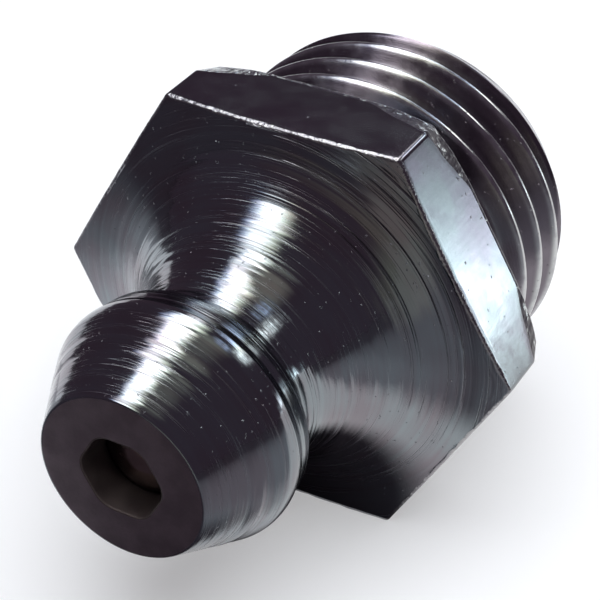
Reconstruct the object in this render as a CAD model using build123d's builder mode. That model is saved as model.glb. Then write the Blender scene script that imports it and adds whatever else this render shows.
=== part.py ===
from build123d import *
from math import cos, radians, sin, sqrt, tan
import os

# Straight grease nipple with a conical head, an 11 mm hexagon and an M10 x 1 thread.
# It is turned from hexagonal bar and bored through from the thread end. A spring
# holds a check ball against the seat behind the inlet of its head.
#
# Frame: the axis is Y. The head points to -Y and the thread to +Y, the origin is on
# the axis in the plane of the hexagon's seat, and one flat of the hexagon lies
# downwards, so that the nipple rests on it as it would on a bench. Millimetres.

# --- driving dimensions ---------------------------------------------------------

# Hexagon
hex_across_flats = 11.0
hex_thickness = 2.15  # seat to the front corners
hex_chamfer_radial = 0.25  # turned chamfer on the seat side, as it shows at a corner
hex_chamfer_axial = 0.75

# Head, from its face backwards
nose_length = 7.2  # front corners of the hexagon to the face of the head
head_face_diameter = 4.4
face_edge_radius = 0.12
head_cone_length = 2.1
head_diameter = 6.5
head_band_length = 0.3
head_taper_length = 0.8
head_back_diameter = 6.2
underhead_length = 0.25

# Neck, and the flare that runs from it out to the hexagon
neck_diameter = 5.2
flare_radius = 3.3
flare_slope = 8.0  # degrees by which the front of the hexagon falls away

# Thread, right-hand
thread_diameter = 9.85
thread_pitch = 1.0
thread_length = 5.5  # seat to the end of the shank
thread_angle = 60.0
crest_flat = thread_pitch / 8
root_flat = thread_pitch / 4
groove_overrun = 1.18  # the groove starts this far past the end, which sets its turn
groove_clearance = 0.06  # kept between the groove and the seat, and above the crests
relief_width = 0.7
relief_below_root = 0.1
lead_chamfer_length = 1.15
lead_chamfer_depth = 0.7

# Bore
inlet_across_flats = 2.0  # soft hexagon in the face of the head
inlet_corner_radius = 0.45
inlet_depth = 0.9  # face to the narrow end of the ball's seat
seat_half_angle = 45.0
chamber_diameter = 3.7
lip_thickness = 0.45  # rim turned in at the thread end, which holds the spring
outlet_diameter = 2.2
outlet_chamfer = 0.15

# Check ball and spring
ball_diameter = 3.175
ball_seat_gap = 0.02
spring_diameter = 2.9
spring_wire = 0.35
spring_coils = 6.0
spring_end_gap = 0.03

# How far a turned profile runs outside the bar that it cuts
turning_reach = 0.5
chamfer_reach = 0.1  # less, because the chamfer is so shallow

# --- values that follow ---------------------------------------------------------

toward_head = (0, -1, 0)
toward_thread = (0, 1, 0)

hex_front = -hex_thickness
head_face = hex_front - nose_length
head_crown = head_face + head_cone_length
head_band_end = head_crown + head_band_length
head_back = head_band_end + head_taper_length
neck_front = head_back + underhead_length

hex_corner_radius = hex_across_flats / 2 / cos(radians(30))
hex_reach = hex_corner_radius + turning_reach
chamfer_run = hex_chamfer_axial / hex_chamfer_radial
chamfer_end = -hex_chamfer_axial - chamfer_reach * chamfer_run

# The flare is one arc, tangent to the neck and to the sloping front of the hexagon.
slope = radians(flare_slope)
neck_radius = neck_diameter / 2
flare_axis_radius = neck_radius + flare_radius
flare_axis = hex_front - flare_radius / cos(slope)
flare_axis -= (hex_corner_radius - flare_axis_radius) * tan(slope)
flare_end = (flare_axis_radius - flare_radius * sin(slope), flare_axis + flare_radius * cos(slope))
half_way = radians(45) + slope / 2
flare_middle = (
    flare_axis_radius - flare_radius * sin(half_way),
    flare_axis + flare_radius * cos(half_way),
)

thread_radius = thread_diameter / 2
thread_reach = thread_radius + turning_reach
half_angle = radians(thread_angle / 2)
groove_width = thread_pitch - crest_flat
groove_depth = (groove_width - root_flat) / 2 / tan(half_angle)
groove_mouth = groove_width + 2 * groove_clearance * tan(half_angle)
groove_start = thread_length + groove_overrun
groove_end = groove_width / 2 + groove_clearance
relief_radius = thread_radius - groove_depth - relief_below_root
relief_end = relief_width + thread_reach - relief_radius
lead_run = lead_chamfer_length / lead_chamfer_depth

inlet_radius = inlet_across_flats / 2
outlet_radius = outlet_diameter / 2
chamber_radius = chamber_diameter / 2
seat_angle = radians(seat_half_angle)
seat_start = head_face + inlet_depth
seat_end = seat_start + (chamber_radius - inlet_radius) / tan(seat_angle)
seat_apex = seat_start - inlet_radius / tan(seat_angle)
lip_start = thread_length - lip_thickness

ball_radius = ball_diameter / 2
ball_centre = seat_apex + (ball_radius + ball_seat_gap) / sin(seat_angle)
coil_radius = (spring_diameter - spring_wire) / 2
ball_to_wire = ball_radius + spring_wire / 2 + spring_end_gap
spring_start = ball_centre + sqrt(ball_to_wire**2 - coil_radius**2)
spring_end = lip_start - spring_wire / 2 - spring_end_gap
spring_length = spring_end - spring_start

os.makedirs("parts", exist_ok=True)


# --- body: hexagonal bar, threaded, turned and bored ----------------------------

with BuildPart() as body:
    # the hexagonal bar, with flats above and below, and the round bar of the shank
    with BuildSketch(Plane.XZ):
        RegularPolygon(radius=hex_corner_radius, side_count=6)
    extrude(amount=-head_face)
    with BuildSketch(Plane.XZ):
        Circle(radius=thread_radius)
    extrude(amount=-thread_length)

    # the thread: a groove that winds from past the end to the relief at the seat
    with BuildLine() as groove_path:
        Helix(
            pitch=thread_pitch,
            height=groove_start - groove_end,
            radius=thread_radius,
            center=(0, groove_start, 0),
            direction=toward_head,
        )
    groove_plane = Plane(
        origin=groove_path.line @ 0,
        x_dir=groove_path.line @ 0 - Vector(0, groove_start, 0),
        z_dir=groove_path.line % 0,
    )
    with BuildSketch(groove_plane):
        with BuildLine():
            Polyline(
                (-groove_depth, -root_flat / 2),
                (groove_clearance, -groove_mouth / 2),
                (groove_clearance, groove_mouth / 2),
                (-groove_depth, root_flat / 2),
                close=True,
            )
        make_face()
    sweep(path=groove_path.line, is_frenet=True, mode=Mode.SUBTRACT)

    # what the lathe leaves, as (radius, place along the axis), from the thread end
    with BuildSketch(Plane.XY):
        with BuildLine():
            Polyline(
                (0, thread_length),
                (thread_radius - lead_chamfer_depth, thread_length),
                (thread_reach, thread_length - lead_chamfer_length - turning_reach * lead_run),
                (thread_reach, relief_end),
                (relief_radius, relief_width),
                (relief_radius, 0),
                (hex_corner_radius - hex_chamfer_radial, 0),
                (hex_corner_radius + chamfer_reach, chamfer_end),
                (hex_reach, chamfer_end),
                (hex_reach, hex_front + turning_reach * tan(slope)),
                flare_end,
            )
            ThreePointArc(flare_end, flare_middle, (neck_radius, flare_axis))
            Polyline(
                (neck_radius, flare_axis),
                (neck_radius, neck_front),
                (head_back_diameter / 2, head_back),
                (head_diameter / 2, head_band_end),
                (head_diameter / 2, head_crown),
                (head_face_diameter / 2, head_face),
                (0, head_face),
                (0, thread_length),
            )
        make_face()
    revolve(axis=Axis.Y, mode=Mode.INTERSECT)
    fillet(body.edges().group_by(Axis.Y)[0], radius=face_edge_radius)

    # the bore: ball seat, chamber, and the outlet inside the turned-in rim
    with BuildSketch(Plane.XY):
        with BuildLine():
            Polyline(
                (0, seat_start),
                (inlet_radius, seat_start),
                (chamber_radius, seat_end),
                (chamber_radius, lip_start),
                (outlet_radius, lip_start),
                (outlet_radius, thread_length - outlet_chamfer),
                (outlet_radius + outlet_chamfer, thread_length),
                (0, thread_length),
                close=True,
            )
        make_face()
    revolve(axis=Axis.Y, mode=Mode.SUBTRACT)

    # the inlet, a soft hexagon that opens into the seat
    with BuildSketch(Plane.XZ.offset(-head_face)):
        RegularPolygon(radius=inlet_radius, side_count=6, major_radius=False)
        fillet(vertices(), radius=inlet_corner_radius)
    extrude(amount=head_face - seat_end, mode=Mode.SUBTRACT)

body.part.label = "body"
export_step(body.part, "parts/body.step")


# --- check ball, on its seat ----------------------------------------------------

with BuildPart() as check_ball:
    with Locations((0, ball_centre, 0)):
        Sphere(radius=ball_radius)

check_ball.part.label = "check_ball"
export_step(check_ball.part, "parts/check_ball.step")


# --- spring, from the back of the ball to the turned-in rim ---------------------

with BuildPart() as spring:
    with BuildLine() as spring_path:
        Helix(
            pitch=spring_length / spring_coils,
            height=spring_length,
            radius=coil_radius,
            center=(0, spring_start, 0),
            direction=toward_thread,
        )
    # eight sides keep the fine wire light; the flats lie at its true radius
    with BuildSketch(Plane(origin=spring_path.line @ 0, z_dir=spring_path.line % 0)):
        RegularPolygon(radius=spring_wire / 2, side_count=8, major_radius=False)
    sweep(path=spring_path.line, is_frenet=True)

spring.part.label = "spring"
export_step(spring.part, "parts/spring.step")

print("overall length", round(thread_length - head_face, 2), "mm")
print("ball rests", round(ball_centre - ball_radius - head_face, 2), "mm behind the face")
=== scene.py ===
# %% [markdown]
# # A grease nipple, turned from hexagonal bar
#
# A grease nipple is screwed into a bearing or a hinge, and a grease gun grips its head. This one is made of
# three pieces: a plated body, a steel check ball behind the inlet, and the spring that holds the ball shut.
#
# The body is the whole show. A lathe made nearly all of it, so its surface is made of rings: the fine rings
# that the tool left pull every reflection out into a line. The lesson builds those rings first, then the
# finish that sits on them, and at the end the light that brings them out.

# %% Load the frame
import math

import bmesh
import bpy
import numpy as np
from mathutils import Matrix, Vector


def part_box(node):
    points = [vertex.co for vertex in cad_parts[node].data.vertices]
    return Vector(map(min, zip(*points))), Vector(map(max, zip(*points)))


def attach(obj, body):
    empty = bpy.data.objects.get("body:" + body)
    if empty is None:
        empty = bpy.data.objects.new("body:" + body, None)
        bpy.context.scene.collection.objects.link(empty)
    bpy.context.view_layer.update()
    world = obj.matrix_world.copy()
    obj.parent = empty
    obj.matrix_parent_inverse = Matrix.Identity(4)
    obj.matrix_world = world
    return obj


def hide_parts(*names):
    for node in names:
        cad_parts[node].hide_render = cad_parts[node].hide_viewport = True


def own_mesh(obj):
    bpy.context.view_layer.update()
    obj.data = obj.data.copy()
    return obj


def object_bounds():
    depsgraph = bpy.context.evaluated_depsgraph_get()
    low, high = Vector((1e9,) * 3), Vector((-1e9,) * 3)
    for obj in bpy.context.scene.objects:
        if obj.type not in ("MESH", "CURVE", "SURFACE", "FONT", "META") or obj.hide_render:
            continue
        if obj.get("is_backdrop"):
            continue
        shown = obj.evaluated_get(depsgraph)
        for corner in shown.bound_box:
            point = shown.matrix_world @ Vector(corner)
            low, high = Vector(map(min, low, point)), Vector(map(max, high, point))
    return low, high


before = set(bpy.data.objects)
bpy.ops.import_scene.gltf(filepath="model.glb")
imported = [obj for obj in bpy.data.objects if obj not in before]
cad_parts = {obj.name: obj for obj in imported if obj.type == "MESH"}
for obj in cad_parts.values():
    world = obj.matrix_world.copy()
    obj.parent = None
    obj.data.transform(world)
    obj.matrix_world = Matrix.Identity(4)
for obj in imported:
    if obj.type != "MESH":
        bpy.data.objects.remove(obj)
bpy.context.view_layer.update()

MM = 0.001

# %% [markdown]
# ## The sizes
#
# The frame gives the length, the hexagon and the ends of the thread. The rest of the outline is a handful of
# sizes in millimetres, as they would stand on a drawing: diameters are given as radii, and places along the
# axis are measured from the seat, with the head on the minus side.

# %% Sizes from the frame
body_low, body_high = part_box("body")
half_flats = body_high.z / MM
corner_radius = half_flats / math.cos(math.radians(30))
face_place = body_low.y / MM
end_place = body_high.y / MM
print("across flats", round(2 * half_flats, 2))
print("face at", round(face_place, 2), "end at", round(end_place, 2))

# %% Sizes of the head and the neck
face_radius = 2.2
face_edge = 0.045
crown_radius = 3.25
crown_place = face_place + 2.1
band_end = crown_place + 0.3
head_back_radius = 3.1
head_back = band_end + 0.8
neck_radius = 2.6
neck_front = head_back + 0.25
crown_rounding = 0.2
band_rounding = 0.08
back_rounding = 0.12
neck_rounding = 0.14
print("the band runs from", round(crown_place, 2), "to", round(band_end, 2))

# %% Sizes of the flare
hex_front = face_place + 7.2
flare_radius = 3.3
flare_slope = math.radians(8)
flare_axis_radius = neck_radius + flare_radius
flare_axis = (
    hex_front
    - flare_radius / math.cos(flare_slope)
    - (corner_radius - flare_axis_radius) * math.tan(flare_slope)
)
print("the flare starts at", round(flare_axis, 2))

# %% Sizes of the hexagon's edges and of the thread
corner_rounding = 0.12
chamfer_depth = 0.25
chamfer_length = 0.75
chamfer_from = 5.7
relief_radius = 4.284
relief_end = 0.7
relief_rounding = 0.05
crest_radius = 4.925
pitch = 1.0
groove_depth = 0.5413
crest_flat = pitch / 8
root_flat = pitch / 4
lead_length = 1.15
lead_depth = 0.7
print("the groove is", round(groove_depth / pitch, 3), "of the pitch deep")

# %% Sizes of the bore
outlet_radius = 1.1
outlet_chamfer = 0.15
lip = 0.45
chamber_radius = 1.85
inlet_half_flats = 1.0
inlet_corner = 0.55
inlet_depth = 0.9
mouth_rounding = 0.05
outlet_rounding = 0.04
seat_end = face_place + inlet_depth + chamber_radius - inlet_half_flats
print("the seat ends at", round(seat_end, 2))

# %% [markdown]
# ## Columns and rings
#
# The body is a closed surface that runs once round the axis and once through the bore, like a doughnut. A
# grid suits it: each column is one angle round the axis, and each ring is one place along the outline. A
# subdivided revolve would do for the round parts, but the hexagon, the soft hexagonal inlet and the thread
# all break it, so every ring here gets a radius and a place of its own at each column.
#
# The columns crowd together at the six corners, because a corner is only as sharp as its columns are close.

# %% Columns round the axis
corner_offsets = np.array([0, 0.22, 0.45, 0.8, 1.5, 2.6])
side_columns = 34


def column_angles():
    """Angles round the axis in degrees, close together at the corners of the hexagon."""
    inner_count = side_columns - 2 * len(corner_offsets) + 3
    inner = np.linspace(corner_offsets[-1], 60 - corner_offsets[-1], inner_count)
    one_side = np.concatenate([corner_offsets, inner[1:-1], 60 - corner_offsets[:0:-1]])
    return np.concatenate([one_side + 60 * side for side in range(6)])


degrees = column_angles()
angles = np.radians(degrees)
columns = len(angles)
print(columns, "columns")

# %% The outline of a hexagon with rounded corners


def hexagon(half_flats, rounding):
    """Distance from the axis to a hexagon's side at each column, corners rounded by an arc."""
    from_middle = np.abs((degrees % 60) - 30)
    flat = half_flats / np.cos(np.radians(from_middle))
    inner_half = half_flats - rounding
    arc_centre = inner_half / math.cos(math.radians(30))
    arc_starts = math.degrees(math.atan(inner_half * math.tan(math.radians(30)) / half_flats))
    aside = arc_centre * np.sin(np.radians(30 - from_middle))
    reach = np.sqrt(np.maximum(rounding**2 - aside**2, 0))
    arc = arc_centre * np.cos(np.radians(30 - from_middle)) + reach
    return np.where(from_middle > arc_starts, arc, flat)


bar = hexagon(half_flats, corner_rounding)
inlet = hexagon(inlet_half_flats, inlet_corner)
print("bar", round(bar.min(), 3), "to", round(bar.max(), 3), "inlet", round(inlet.max(), 3))

# %% [markdown]
# ## The outline, ring by ring
#
# Each ring is a row of radii and a row of places, one for each column. A stretch of the outline is a line or
# an arc between two of them. Every edge gets a little curve of its own, because no plated edge is sharp, and
# it is that curve which catches the light. A ring also knows its zone, which decides its finish later on.

# %% Stretches of outline
rings = []


def add_ring(radius, place, zone):
    """One ring: its radius and its place along the axis may differ from column to column."""
    rings.append((np.broadcast_to(radius, columns), np.broadcast_to(place, columns), zone))


def add_line(start, end, count, zone, first=0):
    """Rings along a straight stretch, without its last one, which the next stretch begins with."""
    for step in range(first, count):
        share = step / count
        add_ring(start[0] + (end[0] - start[0]) * share, start[1] + (end[1] - start[1]) * share, zone)


def add_edge(start, corner, end, count, zone):
    """Rings over a rounded edge, as a curve that leaves and meets its two sides smoothly."""
    for step in range(count):
        t = step / count
        blend = ((1 - t) ** 2, 2 * t * (1 - t), t**2)
        radius = blend[0] * start[0] + blend[1] * corner[0] + blend[2] * end[0]
        place = blend[0] * start[1] + blend[1] * corner[1] + blend[2] * end[1]
        add_ring(radius, place, zone)


def towards(start, end, distance):
    """The point that lies a distance from start on the way to end."""
    run = np.hypot(end[0] - start[0], end[1] - start[1])
    share = distance / run
    return start[0] + (end[0] - start[0]) * share, start[1] + (end[1] - start[1]) * share


def add_corner(before, corner, after, rounding, count, zone):
    """A rounded edge at a corner of the outline, between the corners before and after it."""
    add_edge(towards(corner, before, rounding), corner, towards(corner, after, rounding), count, zone)


# %% The zones and the corners of the head
FACE, TURNED, BAR, THREAD, BORE, EDGE, TORN = range(7)
face_middle = (0, face_place)
face_rim = (face_radius, face_place)
crown = (crown_radius, crown_place)
band = (crown_radius, band_end)
back_edge = (head_back_radius, head_back)
neck_top = (neck_radius, neck_front)
neck_end = (neck_radius, flare_axis)
print("the cone is", round(math.dist(face_rim, crown), 2), "mm long")

# %% The rings of the head
add_line((inlet + mouth_rounding, face_place), towards(face_rim, face_middle, face_edge), 14, FACE)
add_corner(face_middle, face_rim, crown, face_edge, 4, TURNED)
add_line(towards(face_rim, crown, face_edge), towards(crown, face_rim, crown_rounding), 34, TURNED)
add_corner(face_rim, crown, band, crown_rounding, 7, TURNED)
add_line(towards(crown, band, crown_rounding), towards(band, crown, band_rounding), 2, TURNED)
add_corner(crown, band, back_edge, band_rounding, 3, TURNED)
add_line(towards(band, back_edge, band_rounding), towards(back_edge, band, back_rounding), 13, TURNED)
add_corner(band, back_edge, neck_top, back_rounding, 5, TURNED)
add_line(towards(back_edge, neck_top, back_rounding), towards(neck_top, back_edge, neck_rounding), 5, TURNED)
add_corner(back_edge, neck_top, neck_end, neck_rounding, 5, TURNED)
print(len(rings), "rings on the head")

# %% The neck and the flare
flare_sweep = math.radians(90) - flare_slope
flare_rings = 90
add_line(towards(neck_top, neck_end, neck_rounding), neck_end, 6, TURNED)
for step in range(flare_rings):
    turn = flare_sweep * step / flare_rings
    add_ring(
        flare_axis_radius - flare_radius * math.cos(turn),
        flare_axis + flare_radius * math.sin(turn),
        TURNED,
    )
flare_end = (
    flare_axis_radius - flare_radius * math.cos(flare_sweep),
    flare_axis + flare_radius * math.sin(flare_sweep),
)


def front_place(radius):
    """Where the sloping front of the hexagon lies at a radius."""
    return hex_front - (corner_radius - radius) * math.tan(flare_slope)


print("flare ends at radius", round(flare_end[0], 3), "and place", round(flare_end[1], 3))
print("where the hexagon's front is at", round(front_place(flare_end[0]), 3))

# %% [markdown]
# ## The hexagon
#
# The turning tool ran off the flats and left a thin burr on the front edges, which plating rounded over. A
# smooth bevel looks drawn with a ruler there. The edge is given a width that wanders, so that its glint
# breaks up as the real one does.

# %% Numbers that wander round the axis


def wander(waves, seed):
    """A smooth random row of numbers from 0 to 1 that closes round the axis."""
    local = np.random.default_rng(seed)
    total = np.zeros(columns)
    for wave in range(1, waves):
        total += np.sin(wave * angles + local.uniform(0, 2 * math.pi)) * local.uniform(0.4, 1)
    return (total - total.min()) / (total.max() - total.min())


print("wandering from", wander(90, 3).min(), "to", wander(90, 3).max())

# %% The front of the hexagon
front_bevel = 0.03 + 0.09 * wander(90, 3)
inner_front = (bar - front_bevel, front_place(bar - front_bevel))
front_corner = (bar, front_place(bar))
side_front = (bar, front_place(bar) + front_bevel)
add_line(flare_end, inner_front, 15, TURNED)
add_edge(inner_front, front_corner, side_front, 5, EDGE)
print("the front edge is", round(front_bevel.min(), 3), "to", round(front_bevel.max(), 3), "mm wide")

# %% [markdown]
# The back of the hexagon was chamfered with a blunt tool that chattered. At the middle of a flat it took
# nothing. Towards a corner it cut deeper and further forward, and left short ribs, which are cut here by
# letting the depth jump from column to column.

# %% The chamfer behind the hexagon
corner_share = np.clip((bar - chamfer_from) / (bar.max() - chamfer_from), 0, 1)
chatter = 0.5 + wander(95, 8)
chamfer_least = 0.12
ragged = 0.93 + 0.14 * wander(60, 12)
chamfer_start = -chamfer_least - (chamfer_length - chamfer_least) * corner_share**0.6 * ragged
cut_back = (chamfer_depth - 0.03) * corner_share**1.7
cut_back = cut_back + 0.05 * chatter * (corner_share > 0) * corner_share**0.5
back_bevel = 0.02 + 0.05 * wander(70, 5)
rim = bar - cut_back
lip_front = (bar, chamfer_start - 0.02)
lip_back = (bar - 0.02 * cut_back, chamfer_start + 0.012)
print("the chamfer takes", round(cut_back.max(), 3), "mm off the corners")

# %% The back of the hexagon
relief_top = (relief_radius + relief_rounding, 0.0)
relief_start = (relief_radius, relief_rounding)
add_line(side_front, lip_front, 13, BAR)
add_line(lip_front, lip_back, 2, BAR)
add_line(lip_back, (rim, -back_bevel), 6, TORN)
add_edge((rim, -back_bevel), (rim, 0.0), (rim - back_bevel, 0.0), 4, EDGE)
add_line((rim - back_bevel, 0.0), relief_top, 12, TURNED)
print(len(rings), "rings up to the relief")

# %% The groove behind the thread
add_edge(relief_top, (relief_radius, 0.0), relief_start, 3, TURNED)
add_line(relief_start, (relief_radius, relief_end), 5, TURNED)
print(len(rings), "rings up to the thread")

# %% [markdown]
# ## The thread
#
# A thread is one groove that winds along the shank. Rings that lie square to the axis would cut through it
# and leave the crests jagged. These rings lean with the thread instead: each drops by one pitch in one
# turn, so the end of a ring meets the start of the ring one pitch back. Where a leaning ring would run
# past the end of the shank or into the relief, it is held there.
#
# The profile comes first. Its flanks run at sixty degrees to each other, the root is a full arc, and the
# sharp corners are then worn round by averaging each point with its neighbours.

# %% The thread's profile
crest_place = 1.55 + 137.4 / 360  # a crest's place where the columns begin
wear = 0.026
fine_phases = np.linspace(0, 1, 400, endpoint=False)
off_crest = np.minimum(fine_phases, 1 - fine_phases) * pitch
flank_run = (pitch - crest_flat - root_flat) / 2
sharp = crest_radius - groove_depth * np.clip((off_crest - crest_flat / 2) / flank_run, 0, 1)
off_root = pitch / 2 - off_crest
root_rounding = root_flat / 2 * math.sqrt(3)
root_arc = np.sqrt(np.maximum(root_rounding**2 - off_root**2, 0))
root_arc = crest_radius - groove_depth + root_rounding - root_arc
arc_reach = root_rounding * math.sin(math.radians(60))
sharp = np.where(off_root < arc_reach, np.maximum(sharp, root_arc), sharp)
kernel = np.exp(-0.5 * (off_crest / wear) ** 2)
soft = np.real(np.fft.ifft(np.fft.fft(sharp) * np.fft.fft(kernel / kernel.sum())))
soft += crest_radius - soft.max()
print("crest", round(soft.max(), 3), "root", round(soft.min(), 3))

# %% Where the rings lie on one pitch
half_phases = [0, 0.022, 0.042, 0.06, 0.078, 0.098, 0.125, 0.18]
half_phases += [0.24, 0.3, 0.335, 0.37, 0.405, 0.44, 0.47]
phases = np.array(half_phases + [0.5] + [1 - phase for phase in half_phases[:0:-1]])
print(len(phases), "rings a pitch")


def thread_radius(phase):
    """Radius of the plain thread at a phase, which is counted in pitches from a crest."""
    return np.interp(phase % 1, np.append(fine_phases, 1), np.append(soft, soft[0]))


def shank_radius(phase, place):
    """Radius of the shank: the thread, cut down by the relief and by the lead chamfer at the end."""
    relief = relief_radius + np.maximum(place - relief_end, 0)
    lead = crest_radius - lead_depth + (end_place - place) * lead_depth / lead_length
    return np.minimum(np.minimum(thread_radius(phase), relief), lead)


# %% Leaning rings
thread_start = relief_end + 0.01
thread_stop = end_place - 0.03
thread_first = len(rings)
turns = range(math.floor(thread_start - crest_place), math.ceil(thread_stop - crest_place) + 1)
for turn in turns:
    for phase in phases:
        place = (turn + phase) * pitch + crest_place - degrees / 360 * pitch
        place = np.clip(place, thread_start, thread_stop)
        own_phase = (place - crest_place) / pitch + degrees / 360
        add_ring(shank_radius(own_phase, place), place, THREAD)
thread_last = len(rings) - 1
print(thread_last - thread_first + 1, "leaning rings")

# %% [markdown]
# ## The bore
#
# Grease runs in at the soft hexagon, past the ball, and out through the rim at the thread end that was
# turned in to keep the spring. Most of this is out of sight, but the outline has to come back to where it
# began, or the body would be a skin and not a solid.

# %% The end of the thread
lead_radius = crest_radius - lead_depth
end_rounding = 0.05
lead_end = (lead_radius, end_place)
end_rim = (lead_radius - end_rounding, end_place)
bore_mouth = (outlet_radius + outlet_chamfer, end_place)
outlet_front = (outlet_radius, end_place - outlet_chamfer)
add_edge((lead_radius + 0.018, thread_stop), lead_end, end_rim, 3, THREAD)
add_line(end_rim, towards(bore_mouth, lead_end, outlet_rounding), 16, THREAD)
add_corner(lead_end, bore_mouth, outlet_front, outlet_rounding, 3, THREAD)
add_line(towards(bore_mouth, outlet_front, outlet_rounding), outlet_front, 3, THREAD)
print(len(rings), "rings up to the outlet")

# %% The rim and the bore
rim_inside = (outlet_radius, end_place - lip)
chamber_end = (chamber_radius, end_place - lip)
inlet_back = (inlet, face_place + inlet_depth + inlet - inlet_half_flats)
inlet_front = (inlet, face_place + mouth_rounding)
add_line(outlet_front, rim_inside, 3, BORE)
add_line(rim_inside, chamber_end, 3, BORE)
add_line(chamber_end, (chamber_radius, seat_end), 6, BORE)
add_line((chamber_radius, seat_end), inlet_back, 4, BORE)
add_line(inlet_back, inlet_front, 6, BORE)
add_edge(inlet_front, (inlet, face_place), (inlet + mouth_rounding, face_place), 4, BORE)
print(len(rings), "rings in all,", 2 * len(rings) * columns, "triangles before merging")

# %% [markdown]
# ## Tool marks
#
# A feed mark is a shallow round groove that goes right round. Bump in the finish gives the finest ones
# below. The ones that can be counted are cut into the mesh: each is a dip along the outline, pushed in at
# right angles to it, a few thousandths of a millimetre deep, and deeper in some places than in others.

# %% Directions square to the outline
radii = np.array([ring[0] for ring in rings])
places = np.array([ring[1] for ring in rings])
zones = np.array([ring[2] for ring in rings])


def outline_normals():
    """Directions square to the outline at every point: the part along the radius, then along the axis."""
    along_radius = np.gradient(radii, axis=0)
    along_axis = np.gradient(places, axis=0)
    length = np.hypot(along_radius, along_axis)
    length[length < 1e-9] = 1
    return along_axis / length, -along_radius / length


across, along = outline_normals()
print("directions for", across.size, "points")

# %% A set of grooves


def grooves(travel, low, high, spacing, width, depth, seed):
    """Depth of a set of grooves at each point: travel is how far along the outline a point lies."""
    local = np.random.default_rng(seed)
    total = np.zeros_like(travel)
    at = low
    while at < high:
        own_width = width * local.uniform(0.7, 1.5)
        own_depth = depth * local.uniform(0.1, 1.0) ** 1.6
        uneven = 0.65 + 0.35 * wander(9, int(local.integers(1, 9999)))
        total += own_depth * np.exp(-(((travel - at) / own_width) ** 2)) * uneven
        at += spacing * local.uniform(0.5, 1.5)
    return total


travel = radii + places
turned = (zones == TURNED)[:, None]
cut = grooves(travel, -8.0, 4.3, spacing=0.17, width=0.045, depth=0.009, seed=21)
neck_cut = grooves(travel, -4.0, -2.1, spacing=0.11, width=0.03, depth=0.011, seed=34)
cut = np.where(turned, cut + neck_cut, 0)
print("deepest groove", round(1000 * cut.max(), 1), "thousandths of a millimetre")

# %% [markdown]
# The tool also gave way a little as it followed the head and the flare, which leaves slow waves. They can't
# be felt, but every reflection bends at them. Each set fades in and out along the outline.

# %% Slow waves on the head and the flare


def fade_in_and_out(travel, start, length):
    """0 outside a stretch of the outline, rising smoothly to 1 in its middle."""
    return 0.5 - 0.5 * np.cos(2 * math.pi * np.clip((travel - start) / length, 0, 1))


head_waves = np.sin(travel * 5.2) + 0.6 * np.sin(travel * 9.1 + 1.0)
flare_waves = np.sin(travel * 8.3 + 0.4) + 0.5 * np.sin(travel * 14.7)
flare_waves = flare_waves * (0.5 + wander(7, 77))
cut = cut + np.where(turned, 0.007 * fade_in_and_out(travel, -7.0, 2.9) * head_waves, 0)
cut = cut + np.where(turned, 0.0035 * fade_in_and_out(travel, -3.0, 6.0) * flare_waves, 0)
radii = radii - across * cut
places = places - along * cut
print("grooves and waves together", round(1000 * cut.max(), 1), "thousandths of a millimetre")

# %% [markdown]
# ## From rings to a mesh
#
# Each cell of the grid becomes a face. Only the last column needs care: it meets the first one straight
# across, except on the thread, where it meets the ring one pitch back. Points that fall on each other, where
# leaning rings were held at an end, are merged, and the faces that this closes up are dropped.

# %% The faces between the rings
ring_count = len(rings)
pitch_rings = len(phases)


def grid_faces():
    """Corners of every cell of the grid, each as one number for ring and column, and each cell's zone."""
    faces = []
    cell_zones = []
    for ring in range(ring_count):
        following = (ring + 1) % ring_count
        in_thread = thread_first <= ring < thread_last
        for column in range(columns):
            beside = (column + 1) % columns
            ring_beside = ring
            following_beside = following
            if in_thread and beside == 0:
                ring_beside = max(ring - pitch_rings, thread_first)
                following_beside = max(following - pitch_rings, thread_first)
            faces.append(
                (
                    ring * columns + column,
                    following * columns + column,
                    following_beside * columns + beside,
                    ring_beside * columns + beside,
                )
            )
            cell_zones.append(max(zones[ring], zones[following]) if in_thread else zones[ring])
    return np.array(faces), np.array(cell_zones)


faces, cell_zones = grid_faces()
print(len(faces), "cells")

# %% Merge the points that fall on each other


def merged(points, faces):
    """Points without repeats, faces that use them, and which faces are left."""
    keys = np.round(points.reshape(-1, 3) / (1e-5 * MM)).astype(np.int64)
    _, first, back = np.unique(keys, axis=0, return_index=True, return_inverse=True)
    faces = back.reshape(-1)[faces]
    kept = []
    left = []
    for number, face in enumerate(faces.tolist()):
        corners = [corner for at, corner in enumerate(face) if corner != face[at - 1]]
        if len(set(corners)) >= 3:
            kept.append(corners)
            left.append(number)
    return first, kept, np.array(left)


points = np.stack([radii * np.cos(angles), places, radii * np.sin(angles)], axis=-1) * MM
first, faces, left = merged(points, faces)
cell_zones = cell_zones[left]
print(points.size // 3 - len(first), "points merged away")

# %% Build the body


def new_piece(name, points, faces):
    """An object at the origin, made of points in metres and faces, and shaded smooth."""
    mesh = bpy.data.meshes.new(name)
    mesh.from_pydata(points, [], faces)
    mesh.validate()
    mesh.shade_smooth()
    piece = bpy.data.objects.new(name, mesh)
    bpy.context.scene.collection.objects.link(piece)
    return piece


body = new_piece("nipple_body", points.reshape(-1, 3)[first].tolist(), faces)
mesh = body.data
triangles = sum(len(face) - 2 for face in faces)
print(len(mesh.polygons), "faces", triangles, "triangles", len(mesh.vertices), "points")

# %% [markdown]
# ## Where the marks run
#
# The finish needs to know which way the lathe cut. Every point of the body gets three numbers for that: the
# cosine and the sine of its angle, and how far along the outline it lies. A texture that reads them is drawn
# out round the axis, like the marks of the tool, on the cone, the flare and the end face alike.

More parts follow.
